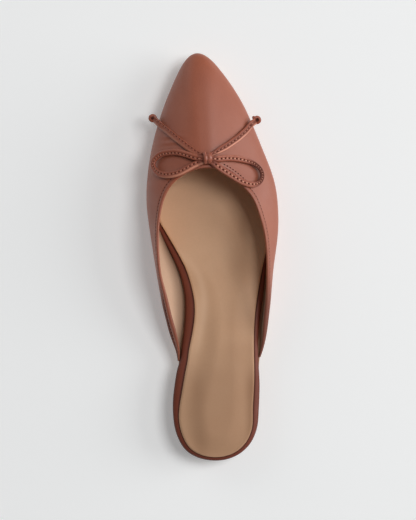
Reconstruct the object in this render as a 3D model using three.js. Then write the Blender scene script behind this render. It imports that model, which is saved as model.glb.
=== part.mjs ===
// A woman's flat leather mule for the right foot, with a thin bow on its vamp.
// Millimetres. X runs from the medial side (-) to the lateral side (+), Y from the back of
// the heel (0) to the tip of the toe, Z up from the ground. The finished group is centred.
import * as THREE from 'three';

// ---- driving dimensions -------------------------------------------------------------------
const LENGTH = 258; // heel to toe
const BALL_WIDTH = 83; // widest part of the upper
const INSTEP = 35; // throat of the vamp above the sole
const HEEL_HEIGHT = 10; // heel block and top piece
const TOE_SPRING = 8; // tip of the sole above the ground
const SOLE = 2.8; // outsole leather
const FOOTBED = 4.5; // wrapped footbed at the heel
const SOCK = 1.2; // sock lining
const WALL = 1.6; // upper leather and lining
const WALL_AT_WING = 0.8; // the same, pared down at the rear ends of the upper
const GAP = 0.3; // between pieces that meet
const TOP_PIECE = 3; // rubber under the heel block
const HEEL_BREAST = 52; // front face of the heel
const STRIP = 3; // piped strip that the bow is tied from
const KNOT = 3.2; // half width of the knot in the middle of the bow
const END_KNOT = 2.4; // radius of the knots at the ends of the tails

// The tables below are drawn for this last, and the driving dimensions stretch them.
const DRAWN = {
  length: 258, ball: 83, ballAt: 160, instep: 35, heel: 10, spring: 8, footbed: 4.5,
};
const across = BALL_WIDTH / DRAWN.ball;
const along = LENGTH / DRAWN.length;
const upward = INSTEP / DRAWN.instep;

// ---- tables -------------------------------------------------------------------------------
const named = (columns, rows) => {
  const names = columns.split(' ');
  return rows.map((row) => Object.fromEntries(names.map((name, i) => [name, row[i]])));
};

// Underside of the outsole over the ground.
const UNDERSIDE = named('at up', [
  [0, 10], [40, 10], [54, 9.5], [70, 7], [85, 4], [100, 1.6], [112, 0.4], [122, 0],
  [190, 0], [210, 0.8], [230, 3], [245, 5.6], [258, 8.4],
]);

// Ribs of the upper, from the rear end of the medial wing, round the toe, to the rear end of
// the lateral wing. Each rises from the sole's edge, tucked in under its widest point, through
// that point to the topline, where it leans at so many degrees from level. Heights are over
// the sole.
const RIBS = named('wideX wideY wideUp tuck topX topY topUp lean', [
  [-20.9, 64, 0.7, 0.2, -20.6, 64, 1.4, 90],
  [-21.8, 70, 2.6, 1.9, -20.5, 70, 5.2, 88],
  [-24.8, 80, 7, 6.6, -22.5, 80, 10.9, 84],
  [-27.1, 90, 11, 10.1, -25.2, 90, 15.8, 82],
  [-29, 100, 14, 12.4, -27.4, 100, 20, 82],
  [-30.4, 110, 15.5, 13, -29.3, 110, 23.3, 82],
  [-31.7, 120, 15.5, 11.8, -30.5, 120, 25.8, 80],
  [-34, 140, 13, 7, -30.4, 139, 28.6, 72],
  [-35.7, 157, 11, 4.2, -28.8, 154, 30.2, 60],
  [-35.9, 170, 10.5, 2.9, -26, 164.4, 31.2, 46],
  [-33.9, 187, 9.5, 2.6, -22, 172.4, 31.9, 34],
  [-30.1, 203.5, 8.5, 2.5, -16.9, 177.8, 32.9, 25],
  [-23.2, 223.5, 7, 2.4, -10, 181.9, 34.1, 17],
  [-13, 244, 5, 2.5, -3.5, 184.1, 34.8, 13],
  [-5.4, 254.8, 4, 2.9, 0.6, 184.6, 35, 12],
  [0.6, 258, 3.6, 3.1, 3, 184.7, 35, 12],
  [6.8, 255, 4, 2.9, 5.4, 184.6, 34.9, 12],
  [14.4, 247, 5, 2.5, 8.8, 184, 34.4, 13],
  [26, 228.5, 7, 2.4, 15, 181.1, 33.1, 17],
  [34.8, 207.5, 8.5, 2.5, 22, 175.7, 31.7, 25],
  [40.5, 191.5, 9.2, 2.7, 28.3, 169.2, 30.4, 34],
  [45.6, 174.5, 9.5, 3.2, 32.6, 162.5, 29.4, 45],
  [47.1, 156, 9.5, 3.3, 36.2, 152.5, 27.9, 56],
  [46, 140, 10, 3, 39.3, 140, 25.8, 66],
  [42.5, 120, 10, 2.2, 40.5, 120, 22.3, 80],
  [39.8, 100, 9.5, 2.4, 39.6, 100, 16.9, 90],
  [38.2, 90, 8, 2.3, 38.2, 90, 13, 90],
  [36.5, 80, 5, 2.2, 36.5, 80, 8.6, 90],
  [33.9, 70, 1.8, 1, 33.9, 70, 3.7, 90],
  [31.6, 64, 0.7, 0.3, 31.3, 64, 1.4, 90],
]);

// Edge of the sole behind the wings, from the medial side round the back of the heel.
const HEEL_EDGE = named('x y', [
  [-22.3, 50], [-23.9, 40], [-24.3, 30], [-23.3, 20], [-19.8, 10.4], [-13.6, 4.4], [-6, 1.2],
  [1, 0.4], [8.6, 1.2], [16, 4.4], [22.4, 10.3], [27, 20], [28.6, 30], [29.4, 40], [29.9, 50],
]);

// Edge of the footbed from the middle of the heel's back to the toe, with the width of the
// wrapped rim that slopes up to the sock lining.
const FOOTBED_MEDIAL = named('x y rim', [
  [1, 0, 2.3], [-8, 1.4, 2.3], [-15, 5, 2.4], [-20, 10.4, 2.6], [-23.7, 20, 2.7],
  [-24.7, 30, 2.9], [-24.3, 40, 4], [-22.8, 50, 4.7], [-20.9, 59, 4.8], [-19.1, 65, 4.5],
  [-18.4, 71, 4.8], [-16.6, 80, 5.2], [-15.2, 90, 5.9], [-14.5, 100, 5.8], [-15.1, 110, 5],
  [-17.4, 120, 4.6], [-20.7, 130, 4.2], [-24.6, 140, 3.9], [-29.4, 157, 3], [-30.9, 170, 2.4],
  [-29.2, 186, 2.2], [-25.4, 203, 2.2], [-18.6, 222, 2.2], [-9.2, 240, 2.2], [-4, 246.5, 2.2],
  [1, 249, 2.2],
]);
const FOOTBED_LATERAL = named('x y rim', [
  [1, 0, 2.3], [9.6, 1.1, 2.3], [17, 4.6, 2.5], [23, 10.4, 2.8], [27.4, 19.8, 3.1],
  [28.9, 30, 3.7], [29.8, 40, 3.7], [30.3, 50, 3.3], [30.2, 60, 2.8], [30.5, 70, 2.8],
  [31.3, 80, 3], [32.8, 90, 3.4], [34.7, 100, 3.6], [36.4, 110, 3.3], [37.8, 120, 3],
  [39.4, 130, 2.8], [40.7, 140, 2.6], [41.5, 157, 2.4], [40.4, 170, 2.3], [36.4, 186, 2.2],
  [30.4, 203, 2.2], [21.8, 222, 2.2], [11, 240, 2.2], [6, 246.5, 2.2], [1, 249, 2.2],
]);
const FOOTBED_THICKNESS = named('at up', [[0, 4.5], [60, 4.5], [130, 3.4], [249, 3]]);

// The bow's strands, each from its knot outward. The loops come back to the knot.
const TAIL_MEDIAL = [
  [0.3, 193.6, 38.4], [-2.2, 194.9, 37.9], [-5, 196.8, 37.2], [-7.5, 198.7, 36.4],
  [-10, 200.5, 35.6], [-12.5, 203.2, 34.2], [-15, 206, 32.6], [-17.5, 208.3, 30.8],
  [-20, 210.5, 28.9], [-22.5, 212.7, 26.4], [-24.8, 214.6, 23.4], [-26.6, 216, 20.2],
  [-27.9, 217.1, 17.8],
];
const TAIL_LATERAL = [
  [7.4, 193.7, 38], [10, 195, 37.5], [12.5, 196.7, 36.5], [15, 198.5, 35.3],
  [17.5, 200.5, 34], [20, 202.5, 32.4], [22.5, 204.5, 30.6], [25, 206.5, 28.7],
  [27.5, 208.7, 26.5], [30, 210.9, 23.9], [32, 212.3, 21.4], [33.8, 213.1, 19],
];
const LOOP_MEDIAL = [
  [-0.1, 191.2, 40.2], [-3, 191.9, 39.9], [-6.5, 193.3, 38.9], [-10, 194.8, 37.6],
  [-15, 196.2, 35.2], [-20, 196.4, 33.1], [-24, 195.8, 31.4], [-27, 194.3, 30.2],
  [-29.3, 191.8, 29.5], [-30.4, 188.8, 29.3], [-29.7, 185.7, 30], [-27.3, 183.1, 31.8],
  [-24, 181.8, 34], [-20, 181.6, 36.5], [-15, 182.5, 38.4], [-10, 184.5, 39.1],
  [-5.5, 186.6, 39.4], [-0.4, 188.5, 39.4],
];
const LOOP_LATERAL = [
  [7.4, 190.9, 40], [11, 190.8, 39.3], [15, 191.2, 37.8], [20, 191, 35.7],
  [25, 190, 33.4], [30, 188, 31.2], [34, 185.3, 29.4], [36.8, 182.3, 28.3],
  [38, 179.3, 28], [37.2, 176.2, 28.7], [35.2, 174.2, 30.2], [32, 173.5, 31.9],
  [28, 174.5, 34.3], [24.5, 176.1, 36], [20, 179, 37.4], [15, 182.5, 38.5],
  [11, 185.4, 39.1], [7.5, 187.9, 39.2],
];
const STRAND_STEP = 2.7; // length of one step along a strand

// ---- curves -------------------------------------------------------------------------------
/** A smooth curve through rows, each turned into a point by pick. */
function curve(rows, pick) {
  const points = rows.map((row) => new THREE.Vector3(...pick(row)));
  return new THREE.CatmullRomCurve3(points, false, 'centripetal');
}

/** A smooth value over Y through rows of [y, value], with no overshoot between level rows. */
function profile(rows) {
  const last = rows.length - 1;
  const rise = rows.slice(1).map(([y, value], i) => (value - rows[i][1]) / (y - rows[i][0]));
  const slope = rows.map((_, i) => {
    const [before, after] = [rise[i - 1] ?? 0, rise[i] ?? 0];
    return before * after > 0 ? (2 * before * after) / (before + after) : 0;
  });
  return (y) => {
    const above = rows.findIndex(([at]) => at > y);
    const i = above < 0 ? last - 1 : Math.max(0, above - 1);
    const [[from, start], [to, end]] = [rows[i], rows[i + 1]];
    const t = THREE.MathUtils.clamp((y - from) / (to - from), 0, 1);
    const eased = t * t * (3 - 2 * t);
    const bend = t * (1 - t) * (to - from) * (slope[i] * (1 - t) - slope[i + 1] * t);
    return start + (end - start) * eased + bend;
  };
}

const heelScale = HEEL_HEIGHT / DRAWN.heel;
const toeScale = TOE_SPRING / DRAWN.spring;
const underside = profile(UNDERSIDE.map(({ at, up }) => (
  [at * along, up * (at < DRAWN.ballAt ? heelScale : toeScale)])));
const soleTop = (y) => underside(y) + SOLE;
const footbedThickness = profile(FOOTBED_THICKNESS.map(({ at, up }) => (
  [at * along, (up * FOOTBED) / DRAWN.footbed])));
const footbedBase = (y) => soleTop(y) + GAP;
const footbedTop = (y) => footbedBase(y) + footbedThickness(y);

// ---- solids -------------------------------------------------------------------------------
/** A closed mesh of these points and triangles, turned so that its faces point out. */
function solid(points, faces) {
  const volume = faces.reduce((sum, [a, b, c]) => sum
    + points[a].dot(new THREE.Vector3().crossVectors(points[b], points[c])), 0);
  const outward = volume > 0 ? faces : faces.map(([a, b, c]) => [a, c, b]);
  const geometry = new THREE.BufferGeometry().setFromPoints(points);
  geometry.setIndex(outward.flat());
  return geometry;
}

const quad = (a, b, c, d) => [[a, b, c], [a, c, d]];

/**
 * Rings of points on top of each other, closed by a ladder of faces below and above. A ring
 * runs from the back along the medial side to the front, and back along the lateral side.
 */
function stack(rings) {
  const count = rings[0].length;
  const faces = [];
  for (let level = 0; level + 1 < rings.length; level += 1) {
    for (let i = 0; i < count; i += 1) {
      const next = (i + 1) % count;
      const [low, high] = [level * count, (level + 1) * count];
      faces.push(...quad(low + i, low + next, high + next, high + i));
    }
  }
  const top = (rings.length - 1) * count;
  for (let i = 0; i < count / 2 - 1; i += 1) {
    const [a, b, c, d] = [i, i + 1, count - 2 - i, count - 1 - i];
    faces.push(...quad(a, d, c, b), ...quad(top + a, top + b, top + c, top + d));
  }
  return solid(rings.flat(), faces);
}

/** A wall between an outer and an inner grid of points, closed along all four edges. */
function shell(outer, inner) {
  const [columns, rows] = [outer.length, outer[0].length];
  const out = (i, j) => i * rows + j;
  const within = (i, j) => columns * rows + out(i, j);
  const faces = [];
  for (let i = 0; i + 1 < columns; i += 1) {
    for (let j = 0; j + 1 < rows; j += 1) {
      faces.push(...quad(out(i, j), out(i + 1, j), out(i + 1, j + 1), out(i, j + 1)));
      faces.push(...quad(within(i, j), within(i, j + 1), within(i + 1, j + 1), within(i + 1, j)));
    }
    for (const [j, turn] of [[0, false], [rows - 1, true]]) {
      const strip = [out(i, j), within(i, j), within(i + 1, j), out(i + 1, j)];
      faces.push(...quad(...(turn ? strip.reverse() : strip)));
    }
  }
  for (let j = 0; j + 1 < rows; j += 1) {
    for (const [i, turn] of [[0, true], [columns - 1, false]]) {
      const strip = [out(i, j), within(i, j), within(i, j + 1), out(i, j + 1)];
      faces.push(...quad(...(turn ? strip.reverse() : strip)));
    }
  }
  return solid([...outer.flat(), ...inner.flat()], faces);
}

// ---- upper --------------------------------------------------------------------------------
const wideCurve = curve(RIBS, (r) => [r.wideX * across, r.wideY * along, r.wideUp * upward]);
const topCurve = curve(RIBS, (r) => [r.topX * across, r.topY * along, r.topUp * upward]);
const formCurve = curve(RIBS, (r) => [r.tuck, r.lean, 0]);
const RIB_STEPS = 2; // columns of faces from one rib to the next
const UNDER_STEPS = 4; // faces from the sole to the widest point
const OVER_STEPS = 10; // faces from there to the topline

/** Widest point, topline point and point on the sole's edge of the rib at u, 0 to 1. */
function ribEnds(u) {
  const wide = wideCurve.getPoint(u);
  const top = topCurve.getPoint(u);
  const { x: tuck, y: lean } = formCurve.getPoint(u);
  const run = wideCurve.getTangent(u).setZ(0).normalize();
  const inward = new THREE.Vector3(run.y, -run.x, 0);
  const feather = wide.clone().addScaledVector(inward, tuck).setZ(0);
  for (const point of [feather, wide, top]) point.z += soleTop(point.y) + GAP;
  return { feather, wide, top, lean: THREE.MathUtils.degToRad(lean) };
}

/** The rib at u: from the sole out to the widest point, upright there, and in to the topline. */
function rib(u) {
  const { feather, wide, top, lean } = ribEnds(u);
  const up = new THREE.Vector3(0, 0, 1);
  const height = wide.z - feather.z;
  const flare = feather.clone().lerp(wide, 0.5).addScaledVector(up, -0.3 * height);
  const below = wide.clone().addScaledVector(up, -0.45 * height);
  const over = wide.clone().addScaledVector(up, 0.35 * (top.z - wide.z));
  const level = top.clone().sub(wide).setZ(0);
  const reach = 0.5 * top.distanceTo(wide);
  const rise = level.normalize().multiplyScalar(Math.cos(lean)).addScaledVector(up, Math.sin(lean));
  const into = top.clone().addScaledVector(rise, -reach);
  const under = new THREE.CubicBezierCurve3(feather, flare, below, wide);
  const crown = new THREE.CubicBezierCurve3(wide, over, into, top);
  return [...under.getPoints(UNDER_STEPS), ...crown.getPoints(OVER_STEPS).slice(1)];
}

/** Outward direction of a grid of points at column i and row j. */
function facing(grid, i, j) {
  const [left, right] = [grid[Math.max(i - 1, 0)], grid[Math.min(i + 1, grid.length - 1)]];
  const [low, high] = [Math.max(j - 1, 0), Math.min(j + 1, grid[i].length - 1)];
  const aside = right[j].clone().sub(left[j]);
  const upward = grid[i][high].clone().sub(grid[i][low]);
  return upward.cross(aside).normalize();
}

function upper() {
  const last = (RIBS.length - 1) * RIB_STEPS;
  const outer = Array.from({ length: last + 1 }, (_, i) => rib(i / last));
  const inner = outer.map((column, i) => column.map((point, j) => {
    const normal = facing(outer, i, j);
    if (j === 0) normal.setZ(0).normalize();
    const fromEnd = Math.min(i, last - i) / (3 * RIB_STEPS);
    const wall = THREE.MathUtils.lerp(WALL_AT_WING, WALL, Math.min(1, fromEnd));
    return point.clone().addScaledVector(normal, -wall);
  }));
  return shell(outer, inner);
}

// ---- sole ---------------------------------------------------------------------------------
const OUTLINE_STEPS = 56; // points along each side of a full-length outline
const TIP = 0.8; // width of the two ends of an outline, where its sides meet

/** Evenly spaced points along a curve, with more of them near its ends. */
function spaced(path, count) {
  return Array.from({ length: count }, (_, i) => {
    const t = i / (count - 1);
    return path.getPointAt(THREE.MathUtils.lerp(t, 0.5 - 0.5 * Math.cos(Math.PI * t), 0.6));
  });
}

/**
 * One ring of a stack. Each side is a list of points, with the width of its rim beside them;
 * the ring lies inside them by a share of the rim and a set distance, at the height of lift.
 */
function ring({ medial, lateral }, share, distance, lift) {
  const last = medial.points.length - 1;
  const place = ({ points, rim }, side) => points.map((point, i) => {
    const run = points[Math.min(i + 1, last)].clone().sub(points[Math.max(i - 1, 0)]).setZ(0);
    const closed = medial.points[i].distanceTo(lateral.points[i]) < TIP;
    if (closed) run.y = 0;
    run.normalize();
    const inset = rim[i] * share + distance;
    const x = point.x + side * (run.y * inset - (closed ? TIP / 2 : 0));
    const y = point.y - side * run.x * inset;
    return new THREE.Vector3(x, y, lift(y));
  });
  return [...place(medial, 1), ...place(lateral, -1).reverse()];
}

/** The sole's edge from the heel's back to the toe, behind and under the upper's ribs. */
function soleEdge() {
  const seat = HEEL_EDGE.map(({ x, y }) => ({ x: x * across, y: y * along }));
  const back = seat.reduce((best, { y }, i) => (y < seat[best].y ? i : best), 0);
  const feather = RIBS.map((_, i) => ribEnds(i / (RIBS.length - 1)).feather);
  const tip = feather.reduce((best, { y }, i) => (y > feather[best].y ? i : best), 0);
  const flat = (rows) => curve(rows, ({ x, y }) => [x, y, 0]);
  return {
    medial: flat([...seat.slice(0, back + 1).reverse(), ...feather.slice(0, tip + 1)]),
    lateral: flat([...seat.slice(back), ...feather.slice(tip).reverse()]),
  };
}

const rimless = (points) => ({ points, rim: points.map(() => 0) });

function outsole() {
  const edge = soleEdge();
  const outline = {
    medial: rimless(spaced(edge.medial, OUTLINE_STEPS)),
    lateral: rimless(spaced(edge.lateral, OUTLINE_STEPS)),
  };
  const set = 0.5; // the upper's edge overhangs the sole by this much
  const bevel = 0.6;
  return stack([
    ring(outline, 0, set + bevel, underside),
    ring(outline, 0, set, (y) => underside(y) + bevel),
    ring(outline, 0, set, soleTop),
  ]);
}

/** The stretch of a side of the sole that lies behind the heel's breast. */
function behindBreast(path, count) {
  const steps = 400;
  const dense = path.getSpacedPoints(steps);
  const end = dense.findIndex(({ y }) => y > HEEL_BREAST) / steps;
  return rimless(Array.from({ length: count }, (_, i) => path.getPointAt((i / (count - 1)) * end)));
}

/** A stack under the heel, one ring for each inset from the sole's edge and height. */
function heelStack(levels) {
  const edge = soleEdge();
  const outline = {
    medial: behindBreast(edge.medial, 22),
    lateral: behindBreast(edge.lateral, 22),
  };
  return stack(levels.map(([inset, lift]) => ring(outline, 0, inset, lift)));
}

const heelBlock = () => heelStack([
  [2, () => TOP_PIECE + GAP],
  [1.5, (y) => (TOP_PIECE + GAP + underside(y)) / 2],
  [1.2, (y) => underside(y) - GAP],
]);

const heelLift = () => heelStack([[2.4, () => 0], [2, () => 0.5], [2, () => TOP_PIECE]]);

/** One side of the footbed, with its rim's width at every point. */
function footbedSide(rows) {
  const path = curve(rows, ({ x, y }) => [x * across, y * along, 0]);
  const points = spaced(path, OUTLINE_STEPS);
  const width = profile(rows.map(({ y, rim }) => [y * along, rim]));
  return { points, rim: points.map(({ y }) => width(y)) };
}

const footbedEdge = {
  medial: footbedSide(FOOTBED_MEDIAL),
  lateral: footbedSide(FOOTBED_LATERAL),
};

function footbed() {
  const height = (share) => (y) => footbedBase(y) + share * footbedThickness(y);
  return stack([
    ring(footbedEdge, 0, 0, height(0)),
    ring(footbedEdge, 0, 0, height(0.35)),
    ring(footbedEdge, 0.3, 0, height(0.75)),
    ring(footbedEdge, 1, 0, footbedTop),
  ]);
}

const insock = () => stack([
  ring(footbedEdge, 1, 0.2, (y) => footbedTop(y) + GAP),
  ring(footbedEdge, 1, 0.5, (y) => footbedTop(y) + GAP + SOCK),
]);

// ---- bow ----------------------------------------------------------------------------------
function strand(route) {
  const path = curve(route, ([x, y, z]) => [x * across, y * along, z]);
  const section = new THREE.Shape();
  section.absarc(0, 0, STRIP / 2, 0, 2 * Math.PI);
  return new THREE.ExtrudeGeometry(section, {
    curveSegments: 4,
    steps: Math.round(path.getLength() / STRAND_STEP),
    bevelEnabled: false,
    extrudePath: path,
  });
}

function knot(x, y, z, radius, [wide, long, high]) {
  const ball = new THREE.SphereGeometry(radius, 14, 10);
  return ball.scale(wide, long, high).translate(x * across, y * along, z);
}

// ---- assembly -----------------------------------------------------------------------------
const leather = { color: 0x9a5c48, roughness: 0.5, metalness: 0 };

/** A group of meshes from rows of [name, shape, finish]. */
function assembled(pieces) {
  const group = new THREE.Group();
  for (const [name, shape, finish] of pieces) {
    const geometry = shape();
    geometry.computeVertexNormals();
    const mesh = new THREE.Mesh(geometry, new THREE.MeshStandardMaterial(finish));
    mesh.name = name;
    group.add(mesh);
  }
  return group;
}

const body = assembled([
  ['outsole', outsole, { color: 0x9a6a45, roughness: 0.6, metalness: 0 }],
  ['heel', heelBlock, { color: 0x4b3122, roughness: 0.6, metalness: 0 }],
  ['heel_lift', heelLift, { color: 0x241c18, roughness: 0.85, metalness: 0 }],
  ['footbed', footbed, leather],
  ['insock', insock, { color: 0xb98a66, roughness: 0.6, metalness: 0 }],
  ['upper', upper, leather],
]);

const bow = assembled([
  ['bow_knot', () => knot(3.7, 191.2, 40.2, KNOT, [1, 1.3, 0.86]), leather],
  ['bow_loop_medial', () => strand(LOOP_MEDIAL), leather],
  ['bow_loop_lateral', () => strand(LOOP_LATERAL), leather],
  ['bow_tail_medial', () => strand(TAIL_MEDIAL), leather],
  ['bow_tail_lateral', () => strand(TAIL_LATERAL), leather],
  ['tail_knot_medial', () => knot(-29.6, 218.3, 15.9, END_KNOT, [1, 1, 1]), leather],
  ['tail_knot_lateral', () => knot(36.2, 214.1, 17, END_KNOT, [1, 1, 1]), leather],
]);

const bounds = new THREE.Box3().setFromObject(body);
const centre = bounds.getCenter(new THREE.Vector3()).setZ(bounds.min.z);
const mule = new THREE.Group();
for (const group of [body, bow]) {
  group.position.copy(centre).negate();
  mule.add(group);
}
export default mule;
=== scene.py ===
"""A woman's flat leather mule for the right foot, with a thin bow on its vamp.

Shapes are drawn in millimetres in the shoe's own frame: X from the medial side (-) to the
lateral side (+), Y from the back of the heel (0) to the tip of the toe, Z up from the ground.
place() takes them to the row frame, in metres, with the CAD nodes' boxes.
"""
import math

import bmesh
import bpy
import numpy as np
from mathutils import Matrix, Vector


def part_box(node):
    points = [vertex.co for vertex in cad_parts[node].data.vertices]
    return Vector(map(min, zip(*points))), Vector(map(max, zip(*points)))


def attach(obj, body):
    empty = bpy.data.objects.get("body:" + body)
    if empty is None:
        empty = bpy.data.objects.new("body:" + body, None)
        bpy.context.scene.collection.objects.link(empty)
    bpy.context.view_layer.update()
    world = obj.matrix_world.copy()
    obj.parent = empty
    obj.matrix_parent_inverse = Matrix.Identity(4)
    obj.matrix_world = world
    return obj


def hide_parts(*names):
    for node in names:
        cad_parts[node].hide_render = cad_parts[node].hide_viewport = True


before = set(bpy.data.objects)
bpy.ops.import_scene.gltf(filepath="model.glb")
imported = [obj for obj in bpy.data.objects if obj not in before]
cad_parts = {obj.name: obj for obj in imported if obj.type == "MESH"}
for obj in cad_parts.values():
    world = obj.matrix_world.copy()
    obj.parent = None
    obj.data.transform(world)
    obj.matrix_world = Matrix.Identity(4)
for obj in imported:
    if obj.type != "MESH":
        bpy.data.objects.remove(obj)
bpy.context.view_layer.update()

# ---- the shoe's frame ----
MM = 0.001
WIDEST = 47.1  # x of the upper's widest point
ORIGIN = np.array([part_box("upper")[1].x - WIDEST * MM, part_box("footbed")[0].y, 0])
GROUND_CLEAR = 0.05  # the floor lies this much under the sole

# ---- sizes of the real pieces ----
SOLE = 2.8  # outsole leather
SEAT = 0.05  # air between pieces that rest on each other
LEATHER = 1.0  # upper leather
WALL = 1.6  # upper leather and lining
WALL_AT_WING = 0.8  # the same, pared down at the rear ends of the upper
EDGE = 1.7  # topline, where the leather is folded over
SOCK = 0.9  # sock lining
PAD = 1.6  # soft pad under the sock
TOP_PIECE = 3  # rubber under the heel block
HEEL_BREAST = 52  # front face of the heel
TOPLINE_PITCH = 2.15  # stitches round the topline
VAMP_ROW_PITCH = 2.1  # stitches of the row inside the lateral loop
BOW_PITCH = 2.6  # stitches down the bow's knot

# ---- tables: the CAD source's own, with small corrections from the photo ----
# Underside of the outsole: y, height over the ground.
UNDERSIDE = [
    (0, 10), (40, 10), (54, 9.5), (70, 7), (85, 4), (100, 1.6), (112, 0.4), (122, 0),
    (190, 0), (210, 0.8), (230, 3), (245, 5.6), (258, 8.4),
]

# Ribs of the upper: wideX wideY wideUp tuck topX topY topUp lean. Each has its widest point,
# how far the sole's edge is tucked in below it, its topline point, and the wall's lean there in
# degrees. Heights are over the sole.
RIBS = [
    (-20.9, 64, 0.7, 0.2, -20.6, 64, 1.4, 90),
    (-21.8, 70, 2.6, 1.9, -20.5, 70, 5.2, 88),
    (-24.8, 80, 7, 6.6, -22.1, 80, 10.9, 82),
    (-27.1, 90, 11, 10.1, -24.6, 90, 15.8, 79),
    (-29, 100, 14, 12.4, -26.5, 100, 20, 78),
    (-30.4, 110, 15.5, 13, -28.3, 110, 23.3, 78),
    (-31.7, 120, 15.5, 11.8, -30, 120, 25.8, 78),
    (-34, 140, 13, 7, -30.4, 139, 28.6, 72),
    (-35.7, 157, 11, 4.2, -28.8, 154, 30.2, 60),
    (-35.9, 170, 10.5, 2.9, -26, 164.4, 31.2, 46),
    (-33.9, 187, 9.5, 2.6, -22, 172.4, 31.9, 34),
    (-30.1, 203.5, 8.5, 2.5, -16.9, 177.8, 32.9, 25),
    (-23.2, 223.5, 7, 2.4, -10, 181.9, 34.1, 17),
    (-13.5, 244.2, 5, 2.5, -3.5, 184.1, 34.8, 13),
    (-6.2, 255.1, 4, 2.9, 0.6, 184.6, 35, 12),
    (0.4, 258.2, 3.6, 3.1, 3, 184.7, 35, 12),
    (7.2, 255.1, 4, 2.9, 5.4, 184.6, 34.9, 12),
    (14.4, 247, 5, 2.5, 8.8, 184, 34.4, 13),
    (26, 228.5, 7, 2.4, 15, 181.1, 33.1, 17),
    (34.8, 207.5, 8.5, 2.5, 22, 175.7, 31.7, 25),
    (40.5, 191.5, 9.2, 2.7, 28.3, 169.2, 30.4, 34),
    (45.6, 174.5, 9.5, 3.2, 32.6, 162.5, 29.4, 45),
    (47.1, 156, 9.5, 3.3, 35.9, 152.5, 27.9, 56),
    (46, 140, 10, 3, 38.5, 140, 25.8, 65),
    (42.5, 120, 10, 2.2, 39.2, 120, 22.3, 75),
    (39.8, 100, 9.5, 2.4, 38.3, 100, 16.9, 82),
    (38.2, 90, 8, 2.3, 37, 90, 13, 83),
    (36.5, 80, 5, 2.2, 35.6, 80, 8.6, 84),
    (33.9, 70, 1.8, 1, 33.6, 70, 3.7, 88),
    (31.6, 64, 0.7, 0.3, 31.3, 64, 1.4, 90),
]

# Edge of the sole behind the wings: x y.
HEEL_EDGE = [
    (-22.3, 50), (-23.9, 40), (-24.3, 30), (-23.3, 20), (-19.8, 10.4), (-13.6, 4.4),
    (-6, 1.2), (1, 0.4), (8.6, 1.2), (16, 4.4), (22.4, 10.3), (27, 20), (28.6, 30),
    (29.4, 40), (29.9, 50),
]

# Edge of the footbed, from the middle of the heel's back to the toe: x y rim.
FOOTBED_MEDIAL = [
    (1, 0, 2.3), (-8, 1.4, 2.3), (-15.2, 4.8, 2.6), (-20.4, 10.2, 3), (-24.3, 20, 3.3),
    (-25.4, 30, 3.6), (-25, 40, 4.7), (-23.4, 50, 5.3), (-21.4, 59, 5.3), (-19.3, 65, 4.7),
    (-18.4, 71, 4.8), (-16.6, 80, 5.2), (-15.2, 90, 5.9), (-14.5, 100, 5.8),
    (-15.1, 110, 5), (-17.4, 120, 4.6), (-21.2, 130, 4.1), (-25.8, 140, 3.6),
    (-28.3, 146, 3), (-30.6, 152, 2.3), (-31.6, 158, 2), (-31.3, 170, 2),
    (-29.2, 186, 2.2), (-25.4, 203, 2.2), (-18.6, 222, 2.2), (-9.2, 240, 2.2),
    (-4, 246.5, 2.2), (1, 249, 2.2),
]
FOOTBED_LATERAL = [
    (1, 0, 2.3), (9.6, 1.1, 2.3), (17, 4.6, 2.5), (23, 10.4, 2.8), (27.4, 19.8, 3.1),
    (28.9, 30, 3.7), (29.8, 40, 3.7), (30.3, 50, 3.3), (30.2, 60, 2.8), (30.5, 70, 2.8),
    (31.3, 80, 3), (32.8, 90, 3.4), (34.7, 100, 3.6), (36.4, 110, 3.2), (37.8, 120, 2.3),
    (39.4, 130, 1.2), (40.7, 140, 0.8), (41.5, 157, 1), (40.4, 170, 1.6), (36.4, 186, 2.2),
    (30.4, 203, 2.2), (21.8, 222, 2.2), (11, 240, 2.2), (6, 246.5, 2.2), (1, 249, 2.2),
]
FOOTBED_THICKNESS = [(0, 4.5), (60, 4.5), (130, 3.4), (249, 3)]

# Edge of the soft pad under the sock, round from the medial side of the forefoot: x y.
PAD_EDGE = [
    (-60, 128), (-45, 126), (-30, 122), (-19, 117), (-11, 111), (-6.5, 103), (-5, 92),
    (-6.2, 80), (-9.5, 66), (-13, 52), (-17, 38), (-18, 27), (-15.5, 14),
    (-8, 5), (3, 3), (14, 6), (21, 14), (25, 28), (26.5, 45), (27, 60), (27.5, 75),
    (29, 90), (33, 102), (42, 112), (60, 118), (90, 190), (60, 300), (-60, 300), (-90, 220),
]

# Routes of the bow's strands: x y z, each from the knot outward. The loops come back to it.
TAIL_MEDIAL = [
    (-0.2, 192.6, 38.4), (-2.9, 194.1, 37.6), (-5.8, 196.1, 36.5), (-8.4, 198.1, 35.2),
    (-10.9, 200.4, 33.9), (-13.5, 202.6, 32.4), (-15.9, 204.9, 30.7), (-18.3, 207.2, 28.7),
    (-20.7, 209.5, 26.4), (-23.1, 211.7, 23.7), (-25.3, 213.8, 21.9), (-26.9, 215.5, 19.9),
    (-28.1, 216.8, 17.7),
]
TAIL_LATERAL = [
    (7.5, 193.4, 37.9), (10.2, 194.6, 36.7), (12.9, 196.1, 35.3), (15.7, 197.6, 33.7),
    (18.4, 199.3, 32.1), (21.1, 201.1, 30.4), (23.7, 202.9, 28.5), (26.2, 205, 26.4),
    (28.8, 207.3, 24), (30.9, 209.7, 21.4), (32.5, 211.4, 21), (34.1, 212.7, 19),
]
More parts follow.
